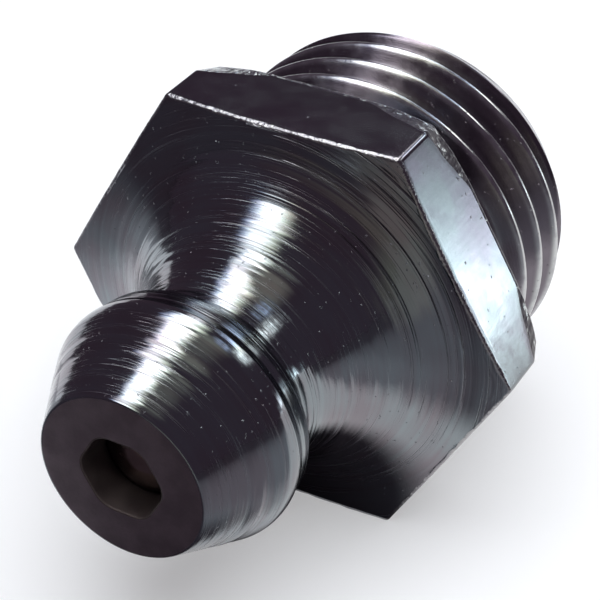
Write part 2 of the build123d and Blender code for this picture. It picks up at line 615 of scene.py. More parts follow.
# %% Give each point its place in the turning
thread_shift = relief_radius - relief_end  # so that the thread's numbers carry on from the relief's
along_outline = radii + places
along_outline = np.where(zones[:, None] == THREAD, 2 * radii - thread_shift, along_outline)
along_outline = np.where(zones[:, None] == BORE, 2 * radii - places, along_outline)
turned_at = np.stack(np.broadcast_arrays(np.cos(angles), np.sin(angles), along_outline), axis=-1)
attribute = mesh.attributes.new("turned", "FLOAT_VECTOR", "POINT")
attribute.data.foreach_set("vector", turned_at.reshape(-1, 3)[first].astype(np.float32).ravel())
print("marks run from", round(along_outline.min(), 2), "to", round(along_outline.max(), 2), "mm")

# %% [markdown]
# ## Finishes
#
# Each finish is one Principled shader, set to metal, with noise behind its colour, its roughness and its
# bump. The sizes are real ones: a noise of scale 5000 makes spots a fifth of a millimetre wide, because
# Blender counts in metres. The helpers come first, each a node or two, so that a finish reads as a recipe.

# %% A new finish


def put(tree, socket, value):
    """Sets a socket to a number or a colour, or links another node's output to it."""
    if isinstance(value, bpy.types.NodeSocket):
        tree.links.new(value, socket)
    else:
        socket.default_value = value


def new_finish(name, metallic=1.0):
    """A material with one Principled shader; gives the material, its node tree and the shader."""
    material = bpy.data.materials.new(name)
    material.use_nodes = True
    tree = material.node_tree
    tree.nodes.clear()
    output = tree.nodes.new("ShaderNodeOutputMaterial")
    shader = tree.nodes.new("ShaderNodeBsdfPrincipled")
    shader.inputs["Metallic"].default_value = metallic
    tree.links.new(shader.outputs["BSDF"], output.inputs["Surface"])
    return material, tree, shader


def dress(tree, shader, colour, roughness, normal):
    """Gives a shader its colour, roughness and bump."""
    put(tree, shader.inputs["Base Color"], colour)
    put(tree, shader.inputs["Roughness"], roughness)
    put(tree, shader.inputs["Normal"], normal)


# %% Sums with values and places


def combine(tree, how, first_value, second_value=0.0):
    """Adds, multiplies or compares two values."""
    node = tree.nodes.new("ShaderNodeMath")
    node.operation = how
    put(tree, node.inputs[0], first_value)
    put(tree, node.inputs[1], second_value)
    return node.outputs["Value"]


def product(tree, value, *others):
    """All the values multiplied together."""
    for other in others:
        value = combine(tree, "MULTIPLY", value, other)
    return value


def added(tree, value, *others):
    """All the values added up."""
    for other in others:
        value = combine(tree, "ADD", value, other)
    return value


def spread(tree, value, low, high, to_low=0.0, to_high=1.0):
    """Maps a value smoothly from one range to another."""
    node = tree.nodes.new("ShaderNodeMapRange")
    node.interpolation_type = "SMOOTHSTEP"
    put(tree, node.inputs["Value"], value)
    node.inputs["From Min"].default_value = low
    node.inputs["From Max"].default_value = high
    node.inputs["To Min"].default_value = to_low
    node.inputs["To Max"].default_value = to_high
    return node.outputs["Result"]


def vector_sum(tree, how, first, second=None, gives="Vector"):
    """A sum with two places or directions."""
    node = tree.nodes.new("ShaderNodeVectorMath")
    node.operation = how
    put(tree, node.inputs[0], first)
    if second is not None:
        put(tree, node.inputs[1], second)
    return node.outputs[gives]


def stretch(tree, where, factors):
    """A place multiplied by three factors, which stretches a texture read there."""
    return vector_sum(tree, "MULTIPLY", where, factors)


def axis_share(tree, where, direction):
    """How far a place lies along a direction."""
    return vector_sum(tree, "DOT_PRODUCT", where, direction, gives="Value")


# %% Places on the object


def object_place(tree):
    """The place on the object, in metres."""
    return tree.nodes.new("ShaderNodeTexCoord").outputs["Object"]


def turned_place(tree):
    """The place in the turning that the mesh carries."""
    node = tree.nodes.new("ShaderNodeAttribute")
    node.attribute_name = "turned"
    return node.outputs["Vector"]


def round_the_axis(tree):
    """The direction in which the lathe cut, at each point: square to the axis and to the radius."""
    return vector_sum(tree, "NORMALIZE", vector_sum(tree, "CROSS_PRODUCT", (0, 1, 0), object_place(tree)))


# %% Texture, colour and bump


def noise(tree, where, scale, detail=3.0, roughness=0.5, distortion=0.0):
    """A noise texture's value at a place."""
    node = tree.nodes.new("ShaderNodeTexNoise")
    put(tree, node.inputs["Vector"], where)
    node.inputs["Scale"].default_value = scale
    node.inputs["Detail"].default_value = detail
    node.inputs["Roughness"].default_value = roughness
    node.inputs["Distortion"].default_value = distortion
    return node.outputs["Fac"]


def spots(tree, scale, detail=3.0, roughness=0.5, distortion=0.0):
    """Noise that is the same in all directions on the object."""
    return noise(tree, object_place(tree), scale, detail, roughness, distortion)


def marks(tree, around, along, detail=3.0, roughness=0.5):
    """Noise drawn out round the axis: low numbers make long marks, high ones make fine marks."""
    return noise(tree, stretch(tree, turned_place(tree), (around, around, along)), 1.0, detail, roughness)


def blend_colours(tree, share, first_colour, second_colour):
    """Mixes two colours by a share from 0 to 1."""
    node = tree.nodes.new("ShaderNodeMix")
    node.data_type = "RGBA"
    put(tree, node.inputs["Factor"], share)
    put(tree, node.inputs["A"], first_colour)
    put(tree, node.inputs["B"], second_colour)
    return node.outputs["Result"]


def bump(tree, height, depth, below=None):
    """Bump of a depth in millimetres, laid over another bump."""
    node = tree.nodes.new("ShaderNodeBump")
    node.inputs["Distance"].default_value = depth * MM
    put(tree, node.inputs["Height"], height)
    if below is not None:
        put(tree, node.inputs["Normal"], below)
    return node.outputs["Normal"]


# %% [markdown]
# ### The plating
#
# The zinc plating is thin and bright, and passivated a dark grey with a breath of violet. One helper mixes
# its colour for every plated surface, so that they belong together. Another gives the shine of a surface
# cut on the lathe: it draws each reflection out across the marks of the tool.

# %% The colour and the shine of the plating


def colour_plating(tree, dark, light, streaks):
    """The plating's colour: clouds a few millimetres wide, and faint rings."""
    clouds = spread(tree, spots(tree, 420, 2.0), 0.35, 0.65)
    rings_share = spread(tree, streaks, 0.3, 0.7, -0.25, 0.25)
    return blend_colours(tree, added(tree, clouds, rings_share), dark, light)


def lathe_shine(tree, shader):
    """Draws reflections out across the marks of the tool."""
    shader.inputs["Anisotropic"].default_value = 0.4
    shader.inputs["Anisotropic Rotation"].default_value = 0.25
    put(tree, shader.inputs["Tangent"], round_the_axis(tree))


# %% [markdown]
# ### Plated steel, as turned
#
# The plating follows every mark of the tool, so the marks make the look: reflections are drawn out across
# them into ragged lines. Part of that is the shader's shine, and part is bump that can be seen line by line.
# Frayed patches of rougher plating break the lines up, and longer arcs show at the outside of the flare.

# %% The turned finish
turned_finish, tree, shader = new_finish("turned_plating")
lathe_shine(tree, shader)
long_marks = marks(tree, 0.35, 6, 2.0)
violet_grey = (0.215, 0.198, 0.22, 1)
blue_grey = (0.235, 0.262, 0.282, 1)
colour = colour_plating(tree, violet_grey, blue_grey, long_marks)
frayed = spread(tree, marks(tree, 0.9, 19, 4.0, 0.65), 0.5, 0.7)
patches = spread(tree, marks(tree, 0.8, 2.4, 2.0), 0.36, 0.6, 0.25, 1.0)
roughness = spread(tree, product(tree, frayed, patches), 0.0, 1.0, 0.1, 0.4)
print(len(tree.nodes), "nodes for its colour and roughness")

# %% Its bump, line by line
scores = spread(tree, marks(tree, 0.5, 22, 4.0, 0.6), 0.58, 0.74)
arcs = spread(tree, marks(tree, 0.3, 7.0, 3.0, 0.55), 0.59, 0.68)
outer_right = spread(tree, axis_share(tree, object_place(tree), (1, 0.55, 0.6)), 0.0015, 0.003)
specks = spread(tree, spots(tree, 9000, 1.0), 0.735, 0.79)
lines = bump(tree, scores, 0.002)
lines = bump(tree, long_marks, 0.006, lines)
lines = bump(tree, product(tree, arcs, outer_right), -0.035, lines)
dress(tree, shader, colour, roughness, bump(tree, specks, 0.01, lines))
print(len(tree.nodes), "nodes in", turned_finish.name)

# %% [markdown]
# ### The drawn bar
#
# The six flats are the skin of the drawn bar. They have faint lines along the axis, shallow dents and a few
# pits, and no rings.

# %% The bar's finish
bar_finish, tree, shader = new_finish("drawn_bar_plating")
dents = spots(tree, 1500, 3.0, 0.55)
pits = spread(tree, spots(tree, 6000, 1.0), 0.74, 0.82)
along_bar = noise(tree, stretch(tree, object_place(tree), (5000, 600, 5000)), 1.0, 2.0)
colour = colour_plating(tree, (0.22, 0.2, 0.235, 1), (0.24, 0.255, 0.27, 1), dents)
skin = bump(tree, dents, 0.0015, bump(tree, along_bar, 0.0006))
dress(tree, shader, colour, spread(tree, dents, 0.3, 0.7, 0.1, 0.16), bump(tree, pits, 0.006, skin))
print(len(tree.nodes), "nodes in", bar_finish.name)

# %% [markdown]
# ### The face of the head
#
# This is where the bar was parted off. It is duller than the rest, with a fine frost all over it and darker
# stains a few tenths of a millimetre wide, and it needs no direction at all.

# %% The face's finish
face_finish, tree, shader = new_finish("cut_face")
frost = spots(tree, 14000, 3.0, 0.6)
stain = spread(tree, spots(tree, 1500, 2.0), 0.3, 0.7)
colour = blend_colours(tree, stain, (0.2, 0.165, 0.185, 1), (0.26, 0.22, 0.24, 1))
dress(tree, shader, colour, spread(tree, frost, 0.3, 0.7, 0.34, 0.5), bump(tree, frost, 0.002))
print(len(tree.nodes), "nodes in", face_finish.name)

# %% [markdown]
# ### The thread
#
# A rolled thread is smoother than a turned one. Its crests are painted pale, partly as rubbing by handling
# and partly as a painted highlight, and its flanks are painted darker, as painted shade down in the groove.
# The place in the turning tells the two apart: its third number grows from the root to the crest, so a band
# of it picks out the flanks, and what lies above the band is a crest.

# %% The thread's colour
thread_finish, tree, shader = new_finish("thread_plating")
lathe_shine(tree, shader)
flakes = spots(tree, 2600, 3.0, 0.6)
height_up = axis_share(tree, turned_place(tree), (0, 0, 1))
# Painted shade: the flanks down in the groove get a darker grey.
shaded_flank = product(tree, spread(tree, height_up, 5.4, 5.6), spread(tree, height_up, 5.95, 6.15, 1.0, 0.0))
# Painted highlight and rubbing wear: the crests get a pale grey.
rubbed_and_lit = product(tree, spread(tree, height_up, 6.05, 6.25), spread(tree, flakes, 0.3, 0.6, 0.5, 1.0))
flank_shade_grey = (0.18, 0.16, 0.185, 1)
rubbed_highlight_grey = (0.56, 0.57, 0.58, 1)
colour = colour_plating(tree, (0.26, 0.24, 0.27, 1), (0.305, 0.31, 0.32, 1), flakes)
colour = blend_colours(tree, shaded_flank, colour, flank_shade_grey)
colour = blend_colours(tree, rubbed_and_lit, colour, rubbed_highlight_grey)
print(len(tree.nodes), "nodes for its colour")

# %% The thread's roughness and bump
flecks = spread(tree, spots(tree, 9000, 1.0), 0.72, 0.78)
rolled = bump(tree, flakes, 0.004, bump(tree, marks(tree, 1.2, 30, 3.0, 0.6), 0.002))
dress(tree, shader, colour, spread(tree, flakes, 0.3, 0.7, 0.14, 0.26), bump(tree, flecks, 0.012, rolled))
print(len(tree.nodes), "nodes in", thread_finish.name)

# %% [markdown]
# ### The bore
# Plating hardly reaches inside. What shows there is steel under a film of old grease, and its colour is
# painted very dark, as painted shade inside the hole. It is only partly metal, so that it doesn't mirror the
# lamps.

# %% The bore's finish
shaded_bore_finish, tree, shader = new_finish("bore_steel_painted_shade", metallic=0.6)
grease = spread(tree, spots(tree, 1400), 0.35, 0.65)
# Painted shade: both greys are very dark, for the shade inside the hole; the grease spots only mix them.
colour = blend_colours(tree, grease, (0.045, 0.033, 0.032, 1), (0.07, 0.053, 0.05, 1))
scale = bump(tree, spots(tree, 5000, 2.0), 0.004)
dress(tree, shader, colour, spread(tree, grease, 0.0, 1.0, 0.5, 0.65), scale)
print(len(tree.nodes), "nodes in", shaded_bore_finish.name)

# %% [markdown]
# ### The edges and the torn chamfer
#
# Plating grows thicker on an edge, in small nodules that glint. The chamfer behind the hexagon is torn and
# ribbed, and its colour paints its light and shade: dark hollows of painted shade between painted glints,
# and on one side a painted reflection that keeps it bright except in its cracks.

# %% The finish of the edges
edge_finish, tree, shader = new_finish("edge_plating")
nodules = spots(tree, 8000, 3.0, 0.6)
colour = colour_plating(tree, (0.27, 0.26, 0.28, 1), (0.36, 0.36, 0.37, 1), nodules)
dress(tree, shader, colour, spread(tree, nodules, 0.3, 0.7, 0.12, 0.24), bump(tree, nodules, 0.03))
print(len(tree.nodes), "nodes in", edge_finish.name)

# %% The torn chamfer's finish
torn_finish, tree, shader = new_finish("torn_chamfer")
ribs = marks(tree, 42, 1.2, 2.0)
tears = spots(tree, 3800, 3.0, 0.6)
# Painted reflection: one side of the chamfer is painted bright, for the white it mirrors there.
painted_reflection_side = spread(tree, axis_share(tree, object_place(tree), (-0.6, 0, 0.8)), 0.0045, 0.0058)
cracks = spread(tree, ribs, 0.34, 0.44, 0.25, 1.0)
# Painted glints: bright specks of colour on a dark ground, which is painted shade.
glints = combine(tree, "MAXIMUM", spread(tree, tears, 0.56, 0.66), product(tree, painted_reflection_side, cracks))
painted_shade_dark = (0.05, 0.042, 0.055, 1)
painted_glint_bright = (0.56, 0.6, 0.61, 1)
colour = blend_colours(tree, glints, painted_shade_dark, painted_glint_bright)
torn = bump(tree, tears, 0.05, bump(tree, ribs, 0.07))
dress(tree, shader, colour, spread(tree, glints, 0.0, 1.0, 0.4, 0.14), torn)
print(len(tree.nodes), "nodes in", torn_finish.name)

# %% [markdown]
# ### Finishes on the body
#
# The body keeps all seven finishes as material slots, in the order of the zones. Each face then takes the
# one of its zone, so a finish changes exactly at the edge where the real one does.

# %% Dress the body
finishes = (face_finish, turned_finish, bar_finish, thread_finish, shaded_bore_finish, edge_finish, torn_finish)
for finish in finishes:
    mesh.materials.append(finish)
mesh.polygons.foreach_set("material_index", cell_zones.astype(np.int32))
mesh.update()
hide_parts("body")
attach(body, "nipple")
print([finish.name for finish in mesh.materials])

# %% [markdown]
# ## The check ball
#
# A hardened ball closes the inlet from inside. It is ground and lapped, so it has no marks at all but the
# narrow ring that it has worn where it meets its seat, and a film of grease. Rings of points about the axis
# make it, because then the worn ring is a real narrow step in the surface.

# %% Points of the ball
ball_low, ball_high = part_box("check_ball")
ball_radius = (ball_high.z - ball_low.z) / 2 / MM
ball_centre = (ball_low.y + ball_high.y) / 2 / MM
ball_rings = 96
ball_columns = 128
seat_tilt = 45
worn_depth = 0.004
worn_width = 1.6
tilt = np.linspace(0, math.pi, ball_rings + 1)
worn = worn_depth * np.exp(-(((np.degrees(tilt) - seat_tilt) / worn_width) ** 2))
ball_points = [(0, ball_centre - ball_radius, 0)]
for at, dip in zip(tilt[1:-1], worn[1:-1]):
    ring_radius = (ball_radius - dip) * math.sin(at)
    ring_place = ball_centre - (ball_radius - dip) * math.cos(at)
    for angle in np.linspace(0, 2 * math.pi, ball_columns, endpoint=False):
        ball_points.append((ring_radius * math.cos(angle), ring_place, ring_radius * math.sin(angle)))
ball_points.append((0, ball_centre + ball_radius, 0))
print("ball of radius", round(ball_radius, 4), "at", round(ball_centre, 4))

# %% Build the ball
ball_faces = []
last_ring = 1 + (ball_rings - 2) * ball_columns
for column in range(ball_columns):
    beside = (column + 1) % ball_columns
    ball_faces.append((0, 1 + column, 1 + beside))
    ball_faces.append((last_ring + column, len(ball_points) - 1, last_ring + beside))
    for ring in range(ball_rings - 2):
        here = 1 + ring * ball_columns
        there = here + ball_columns
        ball_faces.append((here + column, there + column, there + beside, here + beside))
ball = new_piece("check_ball_ground", (np.array(ball_points) * MM).tolist(), ball_faces)
print(len(ball.data.polygons), "faces on the ball")

# %% The ball's finish
ball_finish, tree, shader = new_finish("ground_ball_steel")
film = spread(tree, spots(tree, 1100, 3.0, 0.55, 0.6), 0.35, 0.65)
colour = blend_colours(tree, film, (0.16, 0.12, 0.11, 1), (0.26, 0.2, 0.185, 1))
dress(tree, shader, colour, spread(tree, film, 0.0, 1.0, 0.28, 0.1), bump(tree, film, 0.004))
ball.data.materials.append(ball_finish)
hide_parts("check_ball")
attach(ball, "ball")
print(len(tree.nodes), "nodes in", ball_finish.name)

# %% [markdown]
# ## The spring
#
# Six turns of drawn wire push the ball on its seat. A curve with a round bevel would do for a spring that
# stands still. This one shortens when the ball is pressed in, which works on a mesh, so the wire is swept: a
# small circle carried along the helix, square to it, and closed with a dome at each end.

# %% A circle of the wire
wire_radius = 0.175
coil_radius = 1.275
coils = 6
spring_start = -5.917
spring_end = 4.845
rise = (spring_end - spring_start) / (coils * 2 * math.pi)
wire_sides = 16


def wire_ring(turn, size, ahead):
    """A circle of the wire at an angle of the helix, of a size, moved ahead along the wire."""
    outward = np.array([math.cos(turn), 0, math.sin(turn)])
    forward = np.array([math.sin(turn) * coil_radius, rise, -math.cos(turn) * coil_radius])
    forward = forward / np.linalg.norm(forward)
    sideways = np.cross(forward, outward)
    place = spring_start + rise * (math.pi / 2 - turn)
    centre = coil_radius * outward + np.array([0, place, 0]) + ahead * forward
    return [
        (centre + size * (math.cos(side) * outward + math.sin(side) * sideways)).tolist()
        for side in np.linspace(0, 2 * math.pi, wire_sides, endpoint=False)
    ]


print("the spring rises", round(rise * 2 * math.pi, 3), "mm a turn")

# %% Carry it along the helix
wire_steps = 60 * coils
first_turn = math.pi / 2
last_turn = math.pi / 2 - coils * 2 * math.pi
dome = [(0.25, -0.035), (0.6, -0.028), (0.88, -0.014)]
wire_points = []
for share, back in dome:
    wire_points += wire_ring(first_turn, wire_radius * share, back)
for turn in np.linspace(first_turn, last_turn, wire_steps + 1):
    wire_points += wire_ring(turn, wire_radius, 0)
for share, back in dome[::-1]:
    wire_points += wire_ring(last_turn, wire_radius * share, -back)
wire_rings = len(wire_points) // wire_sides
print(wire_rings, "circles along the wire")

# %% Build the spring
wire_faces = [tuple(range(wire_sides))[::-1]]
for ring in range(wire_rings - 1):
    for side in range(wire_sides):
        beside = (side + 1) % wire_sides
        here = ring * wire_sides
        there = here + wire_sides
        wire_faces.append((here + side, here + beside, there + beside, there + side))
wire_faces.append(tuple(range(len(wire_points) - wire_sides, len(wire_points))))
spring = new_piece("spring_wire", (np.array(wire_points) * MM).tolist(), wire_faces)
print(len(spring.data.polygons), "faces on the spring")

# %% The spring's finish
wire_finish, tree, shader = new_finish("spring_wire_steel")
scale_marks = spots(tree, 3800, 3.0, 0.6)
oil = spread(tree, spots(tree, 900, 2.0), 0.35, 0.65)
colour = blend_colours(tree, oil, (0.2, 0.18, 0.17, 1), (0.36, 0.35, 0.34, 1))
dress(tree, shader, colour, spread(tree, scale_marks, 0.3, 0.7, 0.28, 0.45), bump(tree, scale_marks, 0.003))
spring.data.materials.append(wire_finish)
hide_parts("spring")
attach(spring, "nipple")
print(len(tree.nodes), "nodes in", wire_finish.name)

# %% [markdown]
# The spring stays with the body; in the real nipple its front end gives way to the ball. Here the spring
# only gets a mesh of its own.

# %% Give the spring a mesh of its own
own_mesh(spring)

# %% [markdown]
# ## The bench and the black cards
#
# Bright metal shows its surroundings more than itself, so a bench for metal is set up by what it mirrors.
# A white bench alone would turn the whole underside of the nipple pale. Black card laid round the nipple
# keeps the plating dark, and the gap left in it draws the pale crescents on the flare. A second, small dark
# card under the nipple is a painted shadow: the metal mirrors it where on a real bench the shadow is
# deepest.
#
# The bench itself glows a little, for the camera and for mirrors and glass, so that it stays pale wherever
# it is looked at. In the metal it glows more on the right, which makes the crescents there bright enough.

# %% The top of the bench


def flat_piece(name, corners, level):
    """A flat piece from its corners in millimetres, lying at a level in metres."""
    points = [(x * MM, y * MM, level) for x, y in corners]
    return new_piece(name, points, [tuple(range(len(corners)))])


bench_half = 1500
bench_level = body_low.z
bench_corners = [(-bench_half, -bench_half), (bench_half, -bench_half)]
bench_corners += [(bench_half, bench_half), (-bench_half, bench_half)]
bench = flat_piece("bench", bench_corners, bench_level)
print("the bench lies at", round(bench_level / MM, 2), "mm")

# %% Which rays look at a surface


def looking_rays(tree):
    """1 for rays from the camera, a mirror or glass, and 0 for the light that falls on things."""
    path = tree.nodes.new("ShaderNodeLightPath")
    looking = combine(tree, "MAXIMUM", path.outputs["Is Camera Ray"], path.outputs["Is Glossy Ray"])
    looking = combine(tree, "MAXIMUM", looking, path.outputs["Is Transmission Ray"])
    return looking, path.outputs["Is Glossy Ray"]


def mix_shaders(tree, share, first, second):
    """Sends a mix of two shaders to the material's output."""
    mixing = tree.nodes.new("ShaderNodeMixShader")
    put(tree, mixing.inputs[0], share)
    tree.links.new(first.outputs[0], mixing.inputs[1])
    tree.links.new(second.outputs[0], mixing.inputs[2])
    tree.links.new(mixing.outputs[0], tree.nodes["Material Output"].inputs["Surface"])


# %% The bench's finish
bench_glow = 0.35
mirrored_glow = 0.62
bench_finish, tree, shader = new_finish("pale_bench", metallic=0.0)
shader.inputs["Base Color"].default_value = (0.93, 0.93, 0.93, 1)
shader.inputs["Roughness"].default_value = 0.9
shader.inputs["Specular IOR Level"].default_value = 0.1
looking, glossy = looking_rays(tree)
x_place = axis_share(tree, object_place(tree), (1, 0, 0))
on_right = spread(tree, x_place, 0.0025, 0.0045, 0.0, mirrored_glow)
glow_share = added(tree, product(tree, looking, bench_glow), product(tree, glossy, on_right))
glow = tree.nodes.new("ShaderNodeEmission")
glow.inputs["Strength"].default_value = 1.0
mix_shaders(tree, glow_share, shader, glow)
bench.data.materials.append(bench_finish)
bench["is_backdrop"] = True
print(len(tree.nodes), "nodes in", bench_finish.name)

# %% [markdown]
# ### Cards with soft edges
#
# A hard card edge would be mirrored as a hard line, so the cards fade out. A transparent shader mixed in
# does that, and leaves the outline of the card itself simple. The cards are seen by the metal only, since
# they lie in front of the camera, where card on a real bench would be in the way.

# %% A black card


def metal_only(piece):
    """Hides a piece from the camera and lets light through it, so that it shows in metal alone."""
    piece.visible_camera = False
    piece.visible_shadow = False
    piece.visible_diffuse = False


def card_finish(name):
    """A dull finish without any shine, for card and cloth."""
    material, tree, shader = new_finish(name, metallic=0.0)
    shader.inputs["Specular IOR Level"].default_value = 0.0
    shader.inputs["Roughness"].default_value = 0.8
    return material, tree, shader


def see_through(tree, shader, solid):
    """Lets a finish fade out: solid is 1 where the card is there and 0 where it's cut away."""
    mix_shaders(tree, solid, tree.nodes.new("ShaderNodeBsdfTransparent"), shader)


card_level = bench_level + 0.1 * MM
card_corners = [(-4.7, -10.6), (-12.4, -0.3), (-24, -1), (-40, 2), (-1400, 500), (-1400, -1400)]
card_corners += [(1400, -1400), (1400, 700), (11, 5), (9.9, -2.4)]
card = flat_piece("black_card", card_corners, card_level)
metal_only(card)
print("the card has", len(card_corners), "corners")

# %% [markdown]
# The card isn't one black. It is greyer close to the nipple, on both sides of it, and straight in front it
# carries a breath of olive, as the foot of the tent does that stands behind it.

# %% The greys of the card
black_finish, tree, shader = card_finish("black_card")
x_place = axis_share(tree, object_place(tree), (1, 0, 0))
y_place = axis_share(tree, object_place(tree), (0, 1, 0))
from_nipple = vector_sum(tree, "LENGTH", object_place(tree), gives="Value")
near = spread(tree, from_nipple, 0.013, 0.07, 1.0, 0.05)
right_grey = product(tree, spread(tree, x_place, 0.0025, 0.007), near)
right_grey = product(tree, right_grey, spread(tree, y_place, -0.013, -0.008, 0.85, 1.15))
left_grey = product(tree, spread(tree, x_place, -0.005, -0.008), near)
left_grey = product(tree, left_grey, spread(tree, y_place, -0.019, 0.001, 0.0, 1.8))
card_black = (0.065, 0.052, 0.064, 1)
card_grey = (0.275, 0.27, 0.28, 1)
greys = blend_colours(tree, added(tree, right_grey, left_grey), card_black, card_grey)
greys.node.clamp_factor = False
print(len(tree.nodes), "nodes for its greys")

# %% The olive in front
front_bearing = (0.15, -0.989, 0)
front_fade = (0.74, 0.97)
card_olive = (0.43, 0.41, 0.35, 1)
bearing = vector_sum(tree, "NORMALIZE", object_place(tree))
in_front = spread(tree, y_place, -0.02, -0.032, 0.0, 0.6)
in_front = product(tree, in_front, spread(tree, x_place, -0.013, -0.004))
in_front = product(tree, in_front, spread(tree, axis_share(tree, bearing, front_bearing), *front_fade))
put(tree, shader.inputs["Base Color"], blend_colours(tree, in_front, greys, card_olive))
print(len(tree.nodes), "nodes with the olive")

# %% The soft edges of the card
past_right = axis_share(tree, object_place(tree), (0.49, -0.872, 0))
past_right = combine(tree, "SUBTRACT", past_right, 0.0072)
past_left = axis_share(tree, object_place(tree), (-0.8, -0.6, 0))
past_left = combine(tree, "SUBTRACT", past_left, 0.01011)
softness = spread(tree, x_place, 0.002, 0.008, 0.001, 0.0032)
right_edge = spread(tree, combine(tree, "DIVIDE", past_right, softness), 0.0, 1.0)
left_edge = spread(tree, past_left, 0.0, 0.006)
see_through(tree, shader, combine(tree, "MAXIMUM", right_edge, left_edge))
card.data.materials.append(black_finish)
card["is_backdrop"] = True
print(len(tree.nodes), "nodes in", black_finish.name)

# %% A painted shadow: a small dark card underneath
under = flat_piece("painted_shadow_card", [(-7, -6), (5, -6), (5, 4), (-7, 4)], card_level)
metal_only(under)
shadow_card_finish, tree, shader = card_finish("painted_shadow_card")
# Painted shadow: a dark card, seen in the metal only, that stands for the shadow under the nipple.
shader.inputs["Base Color"].default_value = (0.08, 0.068, 0.08, 1)
shadow_middle = (-0.1 * MM, -1.8 * MM, card_level)
off_centre = vector_sum(tree, "DISTANCE", object_place(tree), shadow_middle, gives="Value")
see_through(tree, shader, spread(tree, off_centre, 0.0034, 0.0052, 1.0, 0.0))
under.data.materials.append(shadow_card_finish)
under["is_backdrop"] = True
print(len(tree.nodes), "nodes in", shadow_card_finish.name)

# %% [markdown]
# ## The lamps
#
# Every lamp is a flat softbox that faces the nipple. A glowing plane would do, but Blender's area lamps are
# flat already, give less noise, and are hidden from the camera with one switch. A helper places them, and
# works out the energy from how bright the white cloth should look, which stays the same when a lamp is moved
# or made larger.

# %% A softbox


def softbox(name, start, end, width, brightness, colour=(1.0, 1.0, 1.0), seen_in="metal"):
    """A flat lamp from one point to another, facing the nipple; brightness is what its cloth shows."""
    start = Vector(start)
    end = Vector(end)
    middle = (start + end) / 2
    length = (end - start).length
    along = (end - start).normalized()
    back = (middle - middle.dot(along) * along).normalized()
    lamp = bpy.data.lights.new(name, "AREA")
    lamp.shape = "RECTANGLE"
    lamp.size = width
    lamp.size_y = length
    lamp.energy = brightness * math.pi * width * length
    lamp.color = colour
    holder = bpy.data.objects.new(name, lamp)
    turned_to = Matrix((along.cross(back), along, back)).transposed()
    holder.matrix_world = Matrix.Translation(middle) @ turned_to.to_4x4()
    holder.visible_camera = False
    holder.visible_diffuse = seen_in == "bench"
    holder.visible_glossy = seen_in == "metal"
    bpy.context.scene.collection.objects.link(holder)
    print(name, "gives", round(lamp.energy, 2), "watts")
    return lamp


# %% Paint on the cloth of a softbox


def lit_cloth(lamp):
    """The lamp's own node tree, with an emission shader to paint the cloth of the softbox."""
    lamp.use_nodes = True
    tree = lamp.node_tree
    tree.nodes.clear()
    cloth = tree.nodes.new("ShaderNodeEmission")
    output = tree.nodes.new("ShaderNodeOutputLight")
    tree.links.new(cloth.outputs["Emission"], output.inputs["Surface"])
    return tree, cloth


def split(tree, where):
    """The three numbers of a place."""
    node = tree.nodes.new("ShaderNodeSeparateXYZ")
    put(tree, node.inputs[0], where)
    return node.outputs[0], node.outputs[1], node.outputs[2]


# %% [markdown]
# ### The long softbox overhead
#
# It hangs from front to back. Only a band of its cloth is lit, and the band makes the white line down the
# cone, the neck and the flare. A plain strip would make a straight, even line, so the cloth is painted: the
# band sways, narrows and changes in brightness, and it ends before the cloth does.

# %% How far a place is from the middle of the band
overhead = softbox("overhead_softbox", (0, -0.62, 0.33), (0, 0.62, 0.33), 0.9, 6.5)
tree, cloth = lit_cloth(overhead)
x, y, _ = split(tree, object_place(tree))
only_y = stretch(tree, object_place(tree), (0, 1, 0))
sway = spread(tree, noise(tree, only_y, 13, 2.0), 0.3, 0.7, -0.04, 0.04)
towards_head = combine(tree, "MINIMUM", y, 0.0)
curve = product(tree, towards_head, towards_head, -0.38)
slant = product(tree, y, 0.04)
off = combine(tree, "SUBTRACT", x, added(tree, slant, curve, sway, -0.105))
print(len(tree.nodes), "nodes to find the band")

# %% The lit band
narrowing = spread(tree, y, 0.25, 0.38, 1.0, 1.6)
near_middle = spread(tree, combine(tree, "ABSOLUTE", y), 0.04, 0.12, 1.3, 1.0)
narrowed = product(tree, combine(tree, "ABSOLUTE", off), narrowing, near_middle)
lit_band = spread(tree, narrowed, 0.02, 0.13, 1.0, 0.0)
uneven = spread(tree, noise(tree, only_y, 15, 3.0, 0.6), 0.36, 0.62, 0.12, 1.5)
front_end = spread(tree, y, -0.52, -0.36)
back_end = spread(tree, y, 0.38, 0.45, 1.0, 0.0)
lit_band = product(tree, lit_band, uneven, front_end, back_end)
print(len(tree.nodes), "nodes with the band")

# %% [markdown]
# Pale and blue spots beside the band light the neck, the thread and the short edge between two flats. The
# band itself turns blue on one side and cream on the other, as daylight and lamplight meet on a real cloth.

# %% Spots beside the band


def spot(tree, x, y, inner, outer, strength):
    """A round spot painted on the cloth, bright inside one radius and gone outside another."""
    away = vector_sum(tree, "DISTANCE", object_place(tree), (x, y, 0), gives="Value")
    return spread(tree, away, inner, outer, strength, 0.0)


pale_spots = added(
    tree,
    spot(tree, 0.06, 0.03, inner=0.03, outer=0.16, strength=0.06),
    spot(tree, 0.15, 0.46, inner=0.03, outer=0.08, strength=0.8),
)
blue_spots = added(
    tree,
    spot(tree, 0.12, 0.16, inner=0.02, outer=0.075, strength=0.2),
    spot(tree, 0.085, 0.455, inner=0.04, outer=0.1, strength=0.35),
)
mottled = spread(tree, spots(tree, 40, 2.0), 0.35, 0.6, 0.1, 1.4)
blue_spots = product(tree, blue_spots, mottled)
put(tree, cloth.inputs["Strength"], added(tree, lit_band, pale_spots, blue_spots))
print(len(tree.nodes), "nodes with the spots")

